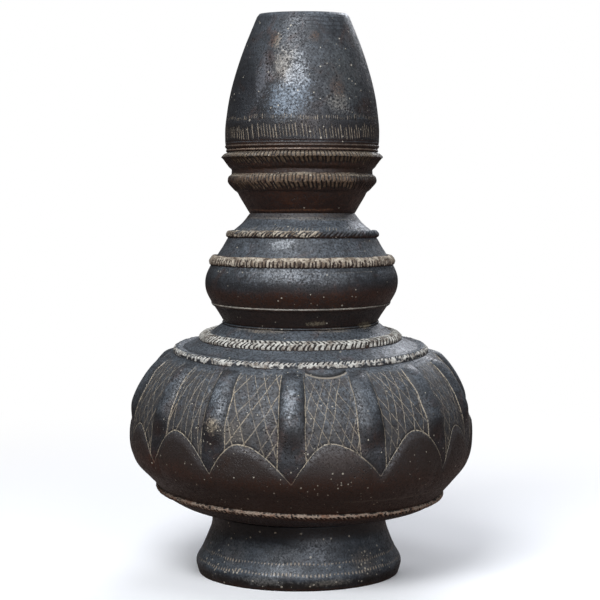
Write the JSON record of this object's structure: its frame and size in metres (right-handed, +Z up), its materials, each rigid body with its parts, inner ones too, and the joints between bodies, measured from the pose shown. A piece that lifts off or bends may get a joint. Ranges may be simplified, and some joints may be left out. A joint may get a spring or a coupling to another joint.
{
  "type": "water jar",
  "caption": "Tall smoked earthenware water jar with a tapering open mouth, two notched flanges, a waist, a bulb, a terraced shoulder, a ribbed belly and a spreading foot ring.",
  "frame": {"origin": "centre of the foot, on the surface that the jar stands on", "axes": "+Z up through the mouth, -Y towards the front of the jar"},
  "size_m": [0.2114, 0.2104, 0.3408],
  "materials": {
    "burnished_clay": "smoked black and burnished",
    "worn_clay": "matt, with the black surface worn off",
    "notched_clay": "smoked, half matt",
    "luting_clay": "matt"
  },
  "bodies": {
    "root": {"foot_ring": "burnished_clay", "foot_luting_coil": "luting_clay", "belly": "burnished_clay", "lower_belly_strip": "worn_clay", "shoulder_strip": "worn_clay", "terrace_strip": "worn_clay", "neck_luting_coil": "luting_clay", "bulb": "burnished_clay", "bulb_cordon": "burnished_clay", "bulb_strip": "worn_clay", "collar_strip": "worn_clay", "upper_neck": "burnished_clay", "lower_flange": "notched_clay", "upper_flange": "notched_clay", "lower_neck_cordon": "burnished_clay", "upper_neck_cordon": "burnished_clay", "mouth": "burnished_clay"}
  },
  "joints": []
}
